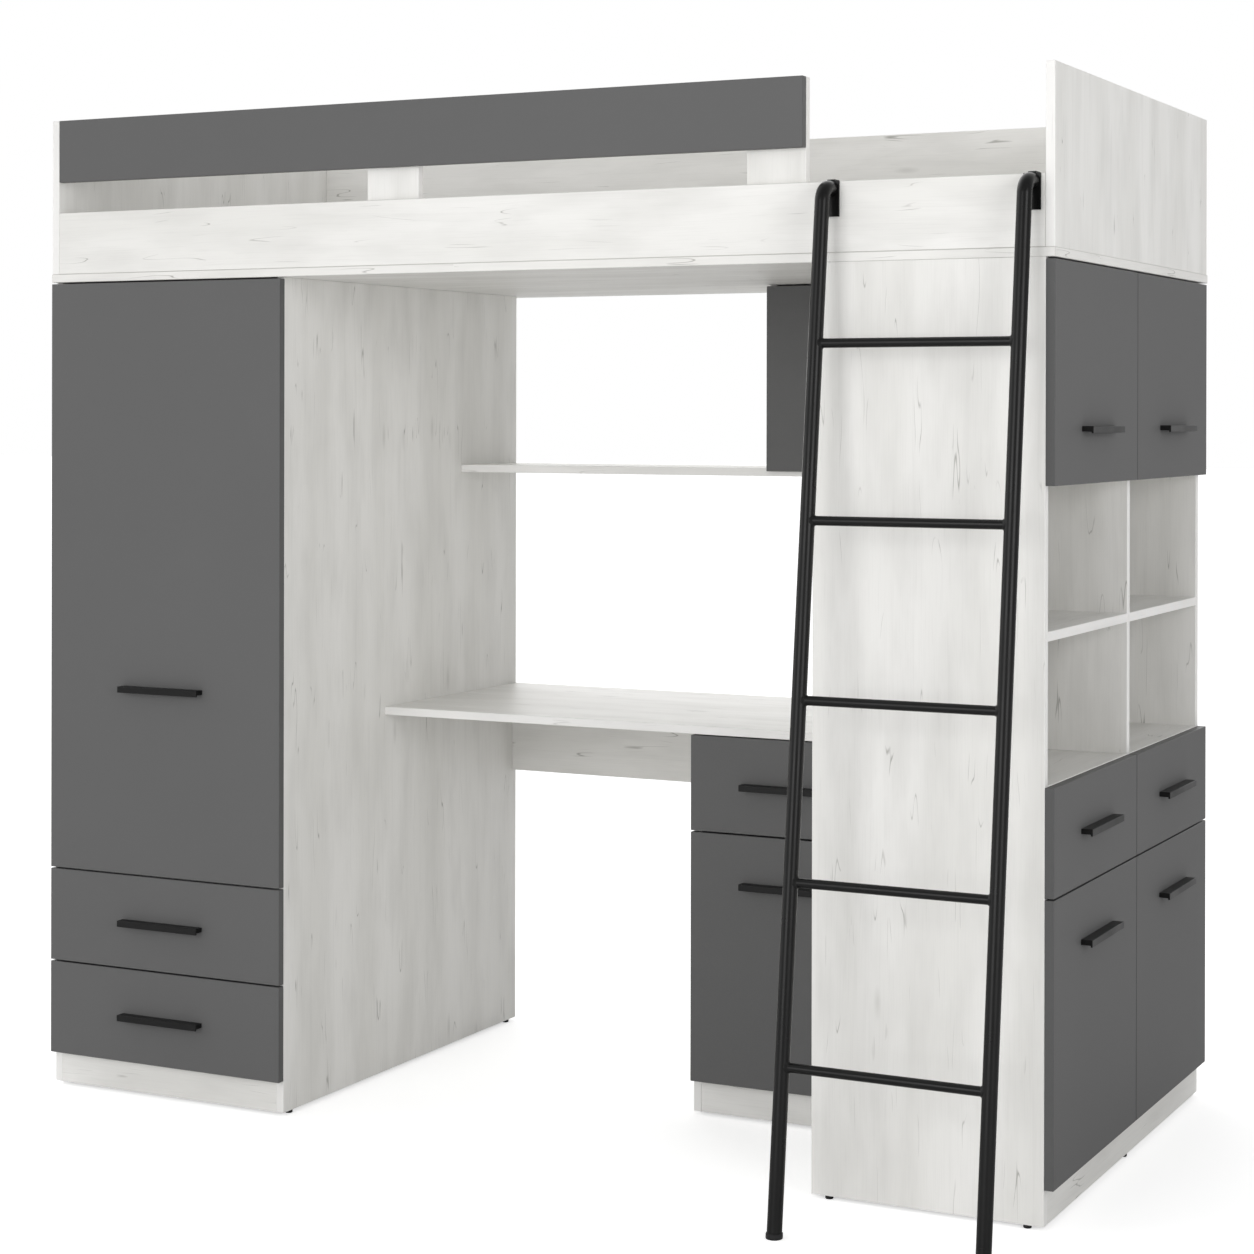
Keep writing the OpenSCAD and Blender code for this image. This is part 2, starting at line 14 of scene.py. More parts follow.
import bmesh
import bpy
from mathutils import Matrix, Vector


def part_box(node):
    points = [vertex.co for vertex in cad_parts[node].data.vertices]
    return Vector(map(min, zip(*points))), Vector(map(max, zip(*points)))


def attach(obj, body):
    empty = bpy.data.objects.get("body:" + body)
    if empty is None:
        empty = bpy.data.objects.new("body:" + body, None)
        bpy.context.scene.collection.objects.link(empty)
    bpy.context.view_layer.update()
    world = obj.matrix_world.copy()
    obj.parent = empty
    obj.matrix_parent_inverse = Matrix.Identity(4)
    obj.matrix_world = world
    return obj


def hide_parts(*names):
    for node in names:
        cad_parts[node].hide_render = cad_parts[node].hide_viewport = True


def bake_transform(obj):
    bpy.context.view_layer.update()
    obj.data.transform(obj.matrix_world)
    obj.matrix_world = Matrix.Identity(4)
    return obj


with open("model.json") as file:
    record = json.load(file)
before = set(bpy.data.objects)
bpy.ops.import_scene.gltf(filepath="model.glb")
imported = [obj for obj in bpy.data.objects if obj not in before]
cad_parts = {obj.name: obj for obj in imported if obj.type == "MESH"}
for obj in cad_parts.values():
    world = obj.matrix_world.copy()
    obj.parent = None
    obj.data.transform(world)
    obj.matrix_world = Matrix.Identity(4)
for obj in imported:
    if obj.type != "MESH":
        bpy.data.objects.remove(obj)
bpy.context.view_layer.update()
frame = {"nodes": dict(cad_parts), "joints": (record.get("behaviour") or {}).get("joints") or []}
scene = bpy.context.scene
MM = 0.001

# %% [markdown]
# ## Camera
# The bed is shot from its front right corner, at eye level, with a short telephoto lens. A level
# camera with a shifted lens keeps every upright board parallel, where a camera that tips down
# would make them lean together. So shift_y moves the frame down, and the camera's own tip and roll
# are only about a tenth of a degree, as on a tripod that was levelled by hand.

# %% Camera
EYE = Vector((2.3022, -4.4455, 1.3188))
FOCAL_LENGTH_MM = 75.26
SENSOR_MM = 36
TURN = math.radians(26.83)
TIP = math.radians(-0.09)
ROLL = math.radians(0.11)
FRAME_SHIFT = -0.1659

camera_data = bpy.data.cameras.new("camera")
camera_data.lens = FOCAL_LENGTH_MM
camera_data.sensor_width = SENSOR_MM
camera_data.shift_y = FRAME_SHIFT
camera = bpy.data.objects.new("camera", camera_data)
turned = Matrix.Rotation(TURN, 4, "Z") @ Matrix.Rotation(math.pi / 2 + TIP, 4, "X")
camera.matrix_world = Matrix.Translation(EYE) @ turned @ Matrix.Rotation(ROLL, 4, "Z")
scene.collection.objects.link(camera)
scene.camera = camera
print("camera:", FOCAL_LENGTH_MM, "mm lens,", round(EYE.length, 2), "m from the bed")

# %% [markdown]
# ## One way to write a material
# A material is a small graph. Typing each node and link out would bury the idea, so one helper adds
# a node: settings are its own fields, and an input is either a value or another node's output.
# Colours are written as the sRGB hex values that a paint card would give, and one function turns
# them into the linear values that the shader expects.

# %% Material helpers
def linear(code):
    """An sRGB hex colour such as #EEEEEC as linear RGBA."""
    parts = [int(code[i:i + 2], 16) / 255 for i in (1, 3, 5)]
    return [p / 12.92 if p <= 0.04045 else ((p + 0.055) / 1.055) ** 2.4 for p in parts] + [1.0]


def add(tree, kind, inputs=None, **settings):
    """A new node with its settings. An input that is a socket is linked, any other is a value."""
    made = tree.nodes.new("ShaderNode" + kind)
    for name, value in settings.items():
        setattr(made, name, value)
    for key, value in (inputs or {}).items():
        if isinstance(value, bpy.types.NodeSocket):
            tree.links.new(value, made.inputs[key])
        else:
            made.inputs[key].default_value = value
    return made


def new_material(name, **values):
    """An empty material with a Principled shader whose constant inputs are set by name."""
    made = bpy.data.materials.new(name)
    made.use_nodes = True
    shader = made.node_tree.nodes["Principled BSDF"]
    for key, value in values.items():
        shader.inputs[key.replace("_", " ")].default_value = value
    return made, made.node_tree, shader


def per_mm(size):
    """The texture scale at which one feature of a noise is this many millimetres."""
    return 1 / (size * MM)


# %% [markdown]
# ## Floor and light
# A white studio: an almost white floor and a white surround that lights the bed from every side,
# which is what leaves the soft dark corners under the shelves. The surround is brighter towards the
# back left, like a wall of windows, so light also comes in under the deck from behind. Two large
# soft lamps stand in front of the bed and to its right: the two faces of each corner part, and each
# round black tube shows the pair as two narrow highlights.

# %% Floor, surround and lamps
FLOOR_HALF = 60
FLOOR_GLOW = 0.55
SURROUND_LIGHT = 0.5
WINDOW_LIGHT = 1.75
WINDOW_WAY = (-0.85, 0.52, 0)
FRONT_POWER = 120
SIDE_POWER = 110
BED_MIDDLE = Vector((0, 0, 1.0))

floor_mesh = bmesh.new()
bmesh.ops.create_grid(floor_mesh, x_segments=1, y_segments=1, size=FLOOR_HALF)
floor = bpy.data.objects.new("floor", bpy.data.meshes.new("floor"))
floor_mesh.to_mesh(floor.data)
floor_mesh.free()
scene.collection.objects.link(floor)
floor_paint, floor_tree, floor_shader = new_material(
    "matt_white_floor", Base_Color=linear("#E0E0E0"), Roughness=0.9, Emission_Color=linear("#FFFFFF"))
glow = add(floor_tree, "MapRange", {"Value": add(floor_tree, "LightPath").outputs["Is Camera Ray"],
                                    "To Max": FLOOR_GLOW})
floor_tree.links.new(glow.outputs["Result"], floor_shader.inputs["Emission Strength"])
floor.data.materials.append(floor_paint)

world = bpy.data.worlds.new("white_surround")
world.use_nodes = True
world_tree = world.node_tree
seen = add(world_tree, "LightPath")
way = add(world_tree, "VectorMath", {0: add(world_tree, "TexCoord").outputs["Generated"],
                                     1: WINDOW_WAY}, operation="DOT_PRODUCT").outputs["Value"]
window = add(world_tree, "MapRange", {"Value": way, "To Min": SURROUND_LIGHT,
                                      "To Max": SURROUND_LIGHT + WINDOW_LIGHT}).outputs[0]
strength = add(world_tree, "MapRange", {"Value": seen.outputs["Is Camera Ray"],
                                        "To Min": window, "To Max": 1.0})
background = world_tree.nodes["Background"]
background.inputs["Color"].default_value = linear("#FFFFFF")
world_tree.links.new(strength.outputs["Result"], background.inputs["Strength"])
scene.world = world
scene.view_settings.view_transform = "Standard"


def soft_lamp(name, place, power, size):
    """A square lamp that looks at the middle of the bed."""
    data = bpy.data.lights.new(name, "AREA")
    data.energy = power
    data.size = size
    lamp = bpy.data.objects.new(name, data)
    lamp.location = place
    lamp.rotation_euler = (BED_MIDDLE - place).to_track_quat("-Z", "Y").to_euler()
    scene.collection.objects.link(lamp)


soft_lamp("front_lamp", Vector((-0.5, -6.8, 2.0)), FRONT_POWER, 3.4)
soft_lamp("side_lamp", Vector((5.8, -3.6, 2.2)), SIDE_POWER, 3.0)
print("floor, surround and two lamps")

# %% [markdown]
# ## White craft oak decor
# The boards are chipboard faced with melamine: a paper printed with limed oak, pressed in resin.
# The eye sees an off-white ground with soft grey bands, fine fibres along the grain, a few hairline
# cracks and small knots, all under an even satin skin with no real depth.
#
# The print runs along each board, so the pattern follows a UV map in metres that is laid on every
# board later: x along the grain and y across it. Stretching a noise along x gives fibres. A crack
# is a contour line of such a noise, kept only where a second noise is high. A knot is a cell of a
# Voronoi pattern, and the grain is pushed aside round it.

# %% Oak decor material
def oak_decor(name, ground, shade, contrast):
    """Printed oak: ground and shade are its two tones, contrast how strongly the figure shows."""
    made, tree, shader = new_material(name, IOR=1.5)
    laid = add(tree, "UVMap", uv_map="decor").outputs["UV"]

    cells = add(tree, "VectorMath", {0: laid, 1: (per_mm(620), per_mm(150), 1)},
                operation="MULTIPLY").outputs[0]
    knot = add(tree, "TexVoronoi", {"Vector": cells, "Scale": 1.0}, voronoi_dimensions="2D")
    chosen = add(tree, "SeparateColor", {"Color": knot.outputs["Color"]}).outputs["Red"]
    is_knot = add(tree, "MapRange", {"Value": chosen, "From Min": 0.72, "From Max": 0.76}).outputs[0]
    offset = add(tree, "VectorMath", {0: cells, 1: knot.outputs["Position"]},
                 operation="SUBTRACT").outputs[0]
    near = add(tree, "MapRange", {"Value": knot.outputs["Distance"], "From Min": 0.45,
                                  "From Max": 0.0, "To Max": 0.07}).outputs[0]
    push = add(tree, "Math", {0: near, 1: is_knot}, operation="MULTIPLY").outputs[0]
    aside = add(tree, "VectorMath", {0: offset, "Scale": push}, operation="SCALE").outputs[0]
    wander = add(tree, "TexNoise", {"Vector": laid, "Scale": per_mm(480), "Detail": 1.0},
                 noise_dimensions="2D").outputs["Fac"]
    sway = add(tree, "MapRange", {"Value": wander, "To Min": -0.006, "To Max": 0.006}).outputs[0]
    sway = add(tree, "CombineXYZ", {"Y": sway}).outputs[0]
    grain = add(tree, "VectorMath", {0: laid, 1: aside}, operation="SUBTRACT").outputs[0]
    grain = add(tree, "VectorMath", {0: grain, 1: sway}, operation="ADD").outputs[0]

    def figure(along, across, detail, roughness=0.5):
        """A noise whose features are this many millimetres along and across the grain."""
        scaled = add(tree, "VectorMath", {0: grain, 1: (per_mm(along), per_mm(across), 1)},
                     operation="MULTIPLY").outputs[0]
        return add(tree, "TexNoise", {"Vector": scaled, "Scale": 1.0, "Detail": detail,
                                      "Roughness": roughness},
                   noise_dimensions="2D").outputs["Fac"]

    def shaded(colour, amount, tone):
        """colour with a tone mixed in by amount."""
        return add(tree, "Mix", {"Factor": amount, 6: colour, 7: linear(tone)},
                   data_type="RGBA").outputs[2]

    def above(value, low, high, most):
        """0 below low and most above high."""
        return add(tree, "MapRange", {"Value": value, "From Min": low, "From Max": high,
                                      "To Max": most}).outputs[0]

    bands = figure(900, 105, 1.0)
    clouds = figure(230, 58, 3.0)
    fibres = figure(110, 2.4, 3.0, 0.6)
    streaks = figure(520, 13, 2.0)
    veins = figure(260, 20, 1.0)
    patches = figure(95, 34, 0.0)

    colour = shaded(linear(ground), above(bands, 0.36, 0.66, contrast), shade)
    colour = shaded(colour, above(clouds, 0.42, 0.78, 0.6 * contrast), "#CFCECA")
    colour = shaded(colour, above(streaks, 0.58, 0.85, 0.2 * contrast), "#C4C3BF")
    colour = shaded(colour, above(fibres, 0.5, 0.9, 0.22 * contrast), "#BAB9B5")

    line = add(tree, "Math", {0: veins, 1: 0.5}, operation="SUBTRACT").outputs[0]
    line = add(tree, "Math", {0: line}, operation="ABSOLUTE").outputs[0]
    line = add(tree, "MapRange", {"Value": line, "From Min": 0.011, "From Max": 0.001}).outputs[0]
    rare = above(patches, 0.66, 0.78, min(1.0, contrast))
    crack = add(tree, "Math", {0: line, 1: rare}, operation="MULTIPLY").outputs[0]
    colour = shaded(colour, crack, "#8B8983")
    heart = add(tree, "MapRange", {"Value": knot.outputs["Distance"], "From Min": 0.05,
                                   "From Max": 0.01, "To Max": 0.4 * contrast}).outputs[0]
    heart = add(tree, "Math", {0: heart, 1: is_knot}, operation="MULTIPLY").outputs[0]
    colour = shaded(colour, heart, "#9C9A94")

    skin = add(tree, "Bump", {"Strength": 0.12, "Distance": 0.2 * MM, "Height": fibres})
    sheen = add(tree, "MapRange", {"Value": fibres, "To Min": 0.38, "To Max": 0.5}).outputs[0]
    tree.links.new(colour, shader.inputs["Base Color"])
    tree.links.new(sheen, shader.inputs["Roughness"])
    tree.links.new(skin.outputs["Normal"], shader.inputs["Normal"])
    return made


oak_face = oak_decor("craft_oak_melamine", "#ECEBE8", "#E1E0DC", 0.68)
oak_band = oak_decor("craft_oak_edge_band", "#F0EFED", "#E6E5E2", 0.35)
# A darker decor for rounded edges: painted crease shade where boards meet
oak_crease_shade = oak_decor("craft_oak_painted_crease_shade", "#CDCCC8", "#C4C3BF", 0.2)
print("materials:", oak_face.name, oak_band.name, "and", oak_crease_shade.name)

# %% [markdown]
# ## Boards
# Every board is sawn square, faced on its two wide sides and banded on its four narrow ones. The
# frame already holds each as a box of loose triangles, so a board is a copy of that box: merged,
# dissolved back into six faces, and bevelled by a millimetre, which is all that the banding tool
# takes off. That fine bevel is what draws the light line along each edge.
#
# The two wide sides get the face decor and the rest the band. The UV map is laid board by board,
# each with its own place on the printed paper, so that neighbours never match, as in real life.

# %% Board helpers
BAND_RADIUS = 1.0 * MM
SQUARE = 0.99  # a face whose normal has a part over this along an axis is square to that axis
rng = random.Random(1893)


def cad_copy(*nodes):
    """The frame's triangles for these nodes as one clean bmesh with merged points and flat faces."""
    bm = bmesh.new()
    for node in nodes:
        bm.from_mesh(frame["nodes"][node].data)
    bmesh.ops.remove_doubles(bm, verts=bm.verts, dist=0.01 * MM)
    bmesh.ops.dissolve_limit(bm, angle_limit=math.radians(0.5), verts=bm.verts, edges=bm.edges)
    return bm


def shells(bm):
    """The faces of each separate solid in bm, by its first face, so the order never changes."""
    bm.faces.index_update()
    done = set()
    for first in bm.faces:
        if first in done:
            continue
        found, queue = set(), [first]
        while queue:
            face = queue.pop()
            if face in found:
                continue
            found.add(face)
            queue.extend(f for e in face.edges for f in e.link_faces if f not in found)
        done |= found
        yield sorted(found, key=lambda f: f.index)


def finish_piece(bm, name, body, materials, replaces=()):
    """bm as an object at the origin. It rides on a body, unless body is None, and replaces nodes."""
    made = bpy.data.objects.new(name, bpy.data.meshes.new(name))
    bm.to_mesh(made.data)
    bm.free()
    scene.collection.objects.link(made)
    for material in materials:
        made.data.materials.append(material)
    if body:
        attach(made, body)
    if replaces:
        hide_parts(*replaces)
    return made


def corners(faces):
    """Lowest and highest corner of some faces."""
    points = [v.co for f in faces for v in f.verts]
    low = Vector([min(p[i] for p in points) for i in range(3)])
    return low, Vector([max(p[i] for p in points) for i in range(3)])


def lay_decor(bm, grain=None):
    """Wide faces get material 0 and the UV map runs along grain: 0, 1 or 2, or the longest side."""
    bm.faces.index_update()
    decor = bm.loops.layers.uv.new("decor")
    for board in shells(bm):
        low, high = corners(board)
        size = high - low
        thin = min(range(3), key=lambda i: size[i])
        along = grain if grain is not None else max(range(3), key=lambda i: size[i])
        start = Vector((rng.uniform(0, 40), rng.uniform(0, 40)))
        for face in board:
            flat = max(range(3), key=lambda i: abs(face.normal[i]))
            wide = flat == thin and abs(face.normal[flat]) > SQUARE
            face.material_index = 0 if wide else 1
            plane = [i for i in range(3) if i != flat]
            if not wide:
                plane.sort(key=lambda i: -size[i])
            elif along in plane:
                plane.sort(key=lambda i: i != along)
            for loop in face.loops:
                loop[decor].uv = start + Vector((loop.vert.co[plane[0]], loop.vert.co[plane[1]]))


def round_off(bm, edges, radius, segments):
    """Bevels these edges and shades the rounding smooth."""
    made = bmesh.ops.bevel(bm, geom=edges, offset=radius, affect="EDGES", segments=segments,
                           profile=0.5, material=-1)
    for face in made["faces"]:
        face.smooth = True


def ease_edges(bm, radius, segments=2):
    """Rounds every edge of bm a little."""
    round_off(bm, bm.edges[:], radius, segments)


# %% [markdown]
# ## Round parts, folded parts and screws
# Tubes, screws, rollers and flanges are all rings of points that are joined one to the next, so a
# lathe helper takes a list of radius and height pairs. Stamped and folded steel is an outline that
# is pushed through its length. A screw is a lathe whose last rings are pinched into a four-pointed
# star and sunk into the head, which is all that a cross recess is at this size.

# %% Ring, lathe, prism and screw helpers
ROUND = 32
STAR_WAIST = 0.42


def push(bm, ring, offset):
    """Extrudes a ring of edges by offset and returns the new ring."""
    made = bmesh.ops.extrude_edge_only(bm, edges=ring)["geom"]
    points = [g for g in made if isinstance(g, bmesh.types.BMVert)]
    bmesh.ops.translate(bm, verts=points, vec=offset)
    return [g for g in made if isinstance(g, bmesh.types.BMEdge)]


def shade_round(bm, sharp_degrees=40):
    """Shades every face smooth and keeps edges sharper than the angle crisp."""
    for face in bm.faces:
        face.smooth = True
    for edge in bm.edges:
        bent = len(edge.link_faces) == 2 and edge.calc_face_angle(0) > math.radians(sharp_degrees)
        edge.smooth = not bent


def new_ring(bm, radius, matrix, segments=ROUND):
    """A ring of edges of that radius, placed by a matrix."""
    points = bmesh.ops.create_circle(bm, radius=radius, segments=segments, matrix=matrix)["verts"]
    return list(dict.fromkeys(e for v in points for e in v.link_edges))


def lathe(bm, steps, matrix, segments=ROUND, star=()):
    """Joins rings of (radius, height) along the matrix's Z. Rings listed in star are pinched."""
    rings = []
    for number, (radius, height) in enumerate(steps):
        place = matrix @ Matrix.Translation((0, 0, height))
        points = bmesh.ops.create_circle(bm, radius=radius, segments=segments, matrix=place)["verts"]
        if number in star:
            for i, point in enumerate(points):
                if i % (segments // 4):
                    point.co = place.translation.lerp(point.co, STAR_WAIST)
        rings.append(list(dict.fromkeys(e for v in points for e in v.link_edges)))
    for lower, upper in zip(rings, rings[1:]):
        bmesh.ops.bridge_loops(bm, edges=lower + upper)
    for ring in (rings[0], rings[-1]):
        bmesh.ops.contextual_create(bm, geom=ring)


def prism(bm, outline, height, matrix):
    """A solid with its outline in the matrix's XY plane, pushed by height along its Z."""
    face = bm.faces.new([bm.verts.new(matrix @ Vector((x, y, 0))) for x, y in outline])
    made = bmesh.ops.extrude_face_region(bm, geom=[face])["geom"]
    points = [g for g in made if isinstance(g, bmesh.types.BMVert)]
    bmesh.ops.translate(bm, verts=points, vec=matrix.to_3x3() @ Vector((0, 0, height)))


def facing(place, out):
    """A matrix at place whose Z points along out."""
    return Matrix.Translation(place) @ out.to_track_quat("Z", "Y").to_matrix().to_4x4()


def screw(bm, place, out, radius, height):
    """A domed screw head with a cross recess, standing on place and pointing out."""
    recess = radius * 0.5
    lathe(bm, [(radius, -0.3 * MM), (radius, height * 0.35), (radius * 0.86, height * 0.8),
               (radius * 0.66, height), (recess, height), (recess * 0.7, height * 0.2)],
          facing(place, out), segments=16, star=(4, 5))


def sharp_edges(bm, degrees=40):
    """The edges between two faces that turn by more than the angle."""
    return [e for e in bm.edges if len(e.link_faces) == 2
            and e.calc_face_angle(0) > math.radians(degrees)]


def crisp_bevel(bm, radius):
    """Bevels only the sharp edges of folded steel, and no wider than its thin faces allow."""
    bmesh.ops.bevel(bm, geom=sharp_edges(bm, 30), offset=radius, affect="EDGES", segments=2,
                    profile=0.5, material=-1, clamp_overlap=True)


def close_up(bm, sharp_degrees=40):
    """Outward normals and smooth shading, for a mesh that is ready."""
    bmesh.ops.recalc_face_normals(bm, faces=bm.faces)
    shade_round(bm, sharp_degrees)

# %% [markdown]
# Every node of oak boards goes through the same three steps: copy, ease, lay the decor.

# %% Oak boards
LONGWAYS = ["bed_deck", "bed_front_rail", "bed_back_panel", "desk_top", "desk_back_rail",
            "desk_shelf", "bookcase_boards", "plinths", "wardrobe_boards", "desk_cabinet_boards"]
UPRIGHT = ["bed_end_left", "bed_end_right", "guard_posts", "wardrobe_side_left",
           "wardrobe_side_right", "desk_cabinet_side", "hanging_cabinet_side",
           "bookcase_side_front", "bookcase_side_rear", "bookcase_back", "bookcase_dividers"]

# The deck's and rail's rounded edges get a darker decor: painted crease shade for the fine grey
# lines where the deck meets the rail and the bookcase
CREASE_SHADED = ["bed_deck", "bed_front_rail"]

for node in LONGWAYS + UPRIGHT:
    board = cad_copy(node)
    ease_edges(board, BAND_RADIUS)
    lay_decor(board, 2 if node in UPRIGHT else None)
    if node in CREASE_SHADED:
        for face in board.faces:
            if max(abs(n) for n in face.normal) < SQUARE:
                face.material_index = 2
            elif node == "bed_deck":
                face.material_index = 0
    finish_piece(board, node + "_boards", "carcass", [oak_face, oak_band, oak_crease_shade],
                 [node])
print("oak boards:", len(LONGWAYS + UPRIGHT), "pieces")

# %% [markdown]
# ## Graphite fronts
# Doors, drawer fronts and the guard rail are chipboard in a plain graphite melamine. It has no
# figure: the eye only sees a dry, even grey with a faint cloud in it and a very fine pearl
# structure that spreads the light. The edges are banded in the same colour, a little glossier and
# darker, and rounded by about a millimetre. The band's darker tone is partly its own and partly
# painted shade along the edges of the fronts.

# %% Graphite materials
def plain_melamine(name, tone, cloud_tone, roughness):
    """Melamine of one colour. The pearl grain is 0.35 mm in life and drawn at 1.2 mm so it shows."""
    made, tree, shader = new_material(name, Roughness=roughness, IOR=1.5, Specular_IOR_Level=0.2)
    place = add(tree, "TexCoord").outputs["Object"]
    clouds = add(tree, "TexNoise", {"Vector": place, "Scale": per_mm(240), "Detail": 3.0})
    pearls = add(tree, "TexNoise", {"Vector": place, "Scale": per_mm(1.2), "Detail": 2.0})
    mixed = add(tree, "Mix", {"Factor": clouds.outputs["Fac"], 6: linear(tone),
                              7: linear(cloud_tone)}, data_type="RGBA").outputs[2]
    specks = add(tree, "MapRange", {"Value": pearls.outputs["Fac"], "From Min": 0.35,
                                    "From Max": 0.65, "To Min": 0.97, "To Max": 1.03}).outputs[0]
    mixed = add(tree, "VectorMath", {0: mixed, "Scale": specks}, operation="SCALE").outputs[0]
    skin = add(tree, "Bump", {"Strength": 0.15, "Distance": 0.15 * MM,
                              "Height": pearls.outputs["Fac"]})
    tree.links.new(mixed, shader.inputs["Base Color"])
    tree.links.new(skin.outputs["Normal"], shader.inputs["Normal"])
    return made


graphite_face = plain_melamine("graphite_melamine", "#606060", "#636363", 0.6)
# The band's darker tone is partly its own and partly painted shade along the fronts' edges
graphite_band_and_edge_shade = plain_melamine("graphite_edge_band_and_shade", "#5A5A5A", "#5D5D5D", 0.45)

# %% [markdown]
# ### Where the hinges sit
# A concealed hinge has an arm on the carcass and a cup of 35 mm let into the door. Both are placed
# from one local frame per hinge: X stands off the board, Y goes in from the carcass edge and Z is
# up. The cup is a real hole: the door's inner face is deleted, a circle is drawn in the opening,
# the rest is filled round it and the circle is pushed into the board.

# %% Hinge frames and cups
HINGE_SETBACK = 1 * MM
CUP_RADIUS = 17.5 * MM
CUP_DEPTH = 11.5 * MM
CUP_OFFSET = 6.5 * MM
INTO_DOOR = Vector((8 * MM, -8 * MM, 0))  # from a hinge's frame to a point inside its door

doors = [j["child"] for j in frame["joints"] if j["type"] == "hinge"]
drawers = [j["child"] for j in frame["joints"] if j["child"].endswith("drawer")]
bookcase_low, bookcase_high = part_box("bookcase_back")
bookcase_middle = (bookcase_low.y + bookcase_high.y) / 2
UP = Vector((0, 0, 1))


def local_frame(off, inward, origin):
    """The matrix whose X, Y and Z are off, inward and up."""
    turn = Matrix((off, inward, UP)).transposed()
    return Matrix.Translation(origin) @ turn.to_4x4()


def faces_front(body):
    """True if this body's front faces -Y, false if it faces +X."""
    low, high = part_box(body if body in doors else body + "_front")
    return high.x - low.x > high.y - low.y


def holds(node, point):
    """True if the box of this node holds this point."""
    low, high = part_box(node)
    return all(a <= p <= b for a, p, b in zip(low, point, high))


hinges = []
for solid in shells(cad_copy("hinge_arms")):
    low, high = corners(solid)
    level = (low.z + high.z) / 2
    if high.y - low.y > high.x - low.x:
        place = local_frame(Vector((1, 0, 0)), Vector((0, 1, 0)),
                            Vector((low.x, low.y - HINGE_SETBACK, level)))
    else:
        front_bay = high.y < bookcase_middle
        place = local_frame(Vector((0, 1 if front_bay else -1, 0)), Vector((-1, 0, 0)),
                            Vector((high.x + HINGE_SETBACK, low.y if front_bay else high.y, level)))
    hinges.append((place, next(d for d in doors if holds(d, place @ INTO_DOOR))))
# Turns a ring into the hinge's XZ plane, which is the plane of the door's inner face
ACROSS_DOOR = Matrix.Rotation(math.pi / 2, 4, "X")


def cut_cups(bm, node):
    """Sinks the hinge cups of this door into its inner face."""
    places = [place for place, door in hinges if door == node]
    if not places:
        return
    inward = places[0].to_3x3() @ Vector((0, 1, 0))
    inner = max((f for f in bm.faces if f.normal.dot(inward) > SQUARE), key=lambda f: f.calc_area())
    border = list(inner.edges)
    bmesh.ops.delete(bm, geom=[inner], context="FACES_ONLY")
    rims = [new_ring(bm, CUP_RADIUS, place @ Matrix.Translation((CUP_OFFSET, 0, 0)) @ ACROSS_DOOR)
            for place in places]
    bmesh.ops.triangle_fill(bm, edges=border + [e for rim in rims for e in rim], use_beauty=True)
    for rim in rims:
        bmesh.ops.contextual_create(bm, geom=push(bm, rim, -inward * CUP_DEPTH))
    bmesh.ops.recalc_face_normals(bm, faces=bm.faces)


print("hinges:", len(hinges))

# %% Fronts
FRONT_RADIUS = 1.0 * MM
fronts = [(d, d) for d in doors] + [(d + "_front", d) for d in drawers] + [("guard_rail", "carcass")]

for node, body in fronts:
    front = cad_copy(node)
    ease_edges(front, FRONT_RADIUS, 3)
    cut_cups(front, node)
    lay_decor(front)
    finish_piece(front, node + "_panel", body, [graphite_face, graphite_band_and_edge_shade],
                 [node])
print("graphite fronts:", len(fronts))

# %% [markdown]
# ## Bar handles
# The handles are cast zinc bars with a matt black paint, 20 mm deep, with a small lip that hangs
# from the front for the fingers. They are straight extrusions in the frame, so each only needs its
# long edges eased. The paint is nearly black and slightly rough, with a fine grain.

# %% Handle paint and handles
def black_paint(name, tone, roughness, grain_mm, depth_mm):
    """Black paint whose fine bumps are grain_mm wide and depth_mm high."""
    made, tree, shader = new_material(name, Base_Color=linear(tone), IOR=1.5,
                                      Specular_IOR_Level=0.25)
    place = add(tree, "TexCoord").outputs["Object"]
    peel = add(tree, "TexNoise", {"Vector": place, "Scale": per_mm(grain_mm), "Detail": 2.0})
    worn = add(tree, "TexNoise", {"Vector": place, "Scale": per_mm(90), "Detail": 4.0})
    rough = add(tree, "MapRange", {"Value": worn.outputs["Fac"], "From Min": 0.3, "From Max": 0.7,
                                   "To Min": roughness - 0.05, "To Max": roughness + 0.06})
    skin = add(tree, "Bump", {"Strength": 0.3, "Distance": depth_mm * MM,
                              "Height": peel.outputs["Fac"]})
    tree.links.new(rough.outputs["Result"], shader.inputs["Roughness"])
    tree.links.new(skin.outputs["Normal"], shader.inputs["Normal"])
    return made


handle_paint = black_paint("matt_black_zinc_paint", "#0F0F0F", 0.4, 0.8, 0.05)
HANDLE_RADIUS = 0.8 * MM

for body in doors + drawers:
    bar = cad_copy(body + "_handle")
    ease_edges(bar, HANDLE_RADIUS, 3)
    finish_piece(bar, body + "_bar", body, [handle_paint], [body + "_handle"])
print("bar handles:", len(doors + drawers))

# %% [markdown]
# ## Ladder
# The ladder is bent and welded from steel tube, powder coated black. Each stile runs straight up at
# a slight lean, turns through a tight bend and butts against a flat steel hook on the bed's rail.
# A curve with a bevel could make it, but a ring of points that is pushed along the tube, spun
# through the bend and pushed again gives clean rows of faces that follow the real bending.
#
# Powder coat is a thick, slightly wavy skin: near black, with a soft long highlight and a fine
# orange peel of about a millimetre.

# %% Stiles
ladder_paint = black_paint("black_powder_coat", "#0C0C0C", 0.3, 1.4, 0.05)
LEAN = math.radians(6.5)
STILE_RADIUS = 12.5 * MM
BEND_RADIUS = 27 * MM
STANDOFF = 41 * MM
HOOK_THICKNESS = 3 * MM
SOLE = 4 * MM

